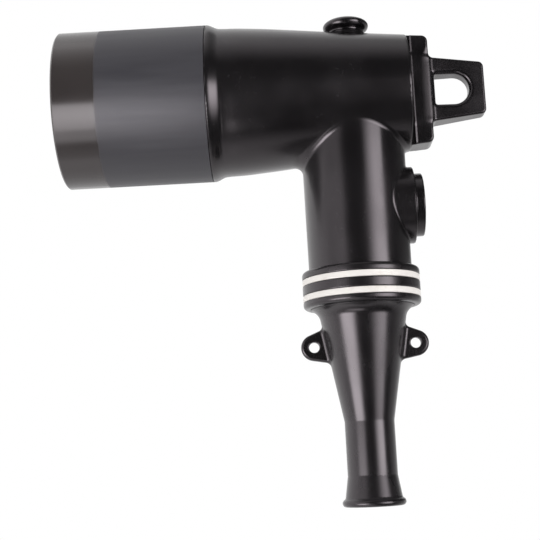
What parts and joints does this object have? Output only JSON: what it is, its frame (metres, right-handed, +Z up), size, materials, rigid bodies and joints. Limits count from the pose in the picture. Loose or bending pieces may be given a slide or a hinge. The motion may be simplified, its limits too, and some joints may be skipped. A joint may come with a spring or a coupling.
{
  "type": "separable elbow connector",
  "caption": "Moulded rubber elbow that plugs a medium-voltage cable onto an apparatus bushing, with a pulling eye, capped test point and cable seal boot.",
  "frame": {"origin": "centre of the bushing mouth, on the arm's axis", "axes": "+X from the bushing mouth along the arm to the pulling eye, +Z up, away from the cable leg, +Y to the far side"},
  "size_m": [0.2693, 0.1, 0.3099],
  "materials": {
    "jacket_rubber": "satin moulded conductive rubber",
    "cuff_rubber": "matte grey insulating rubber, polished at the rim",
    "insert_rubber": "matte conductive rubber",
    "eye_moulding": "glossy black moulding",
    "cap_moulding": "glossy black moulding",
    "boot_rubber": "satin moulded rubber",
    "band_white": "smooth off-white band",
    "probe_copper": "turned copper",
    "lug_tin": "tin-plated",
    "follower_plastic": "turned cream plastic",
    "electrode_brass": "turned brass",
    "rod_steel": "drawn steel rod"
  },
  "bodies": {
    "root": {"insulating_body": "cuff_rubber", "conductive_insert": "insert_rubber", "conductive_jacket": "jacket_rubber", "compression_lug": "lug_tin", "probe_contact": "probe_copper", "arc_follower": "follower_plastic", "test_point_electrode": "electrode_brass", "test_point_cap": "cap_moulding", "pulling_eye": "eye_moulding", "eye_reinforcement": "rod_steel", "cable_seal_boot": "boot_rubber", "upper_band": "band_white", "lower_band": "band_white"}
  },
  "joints": []
}
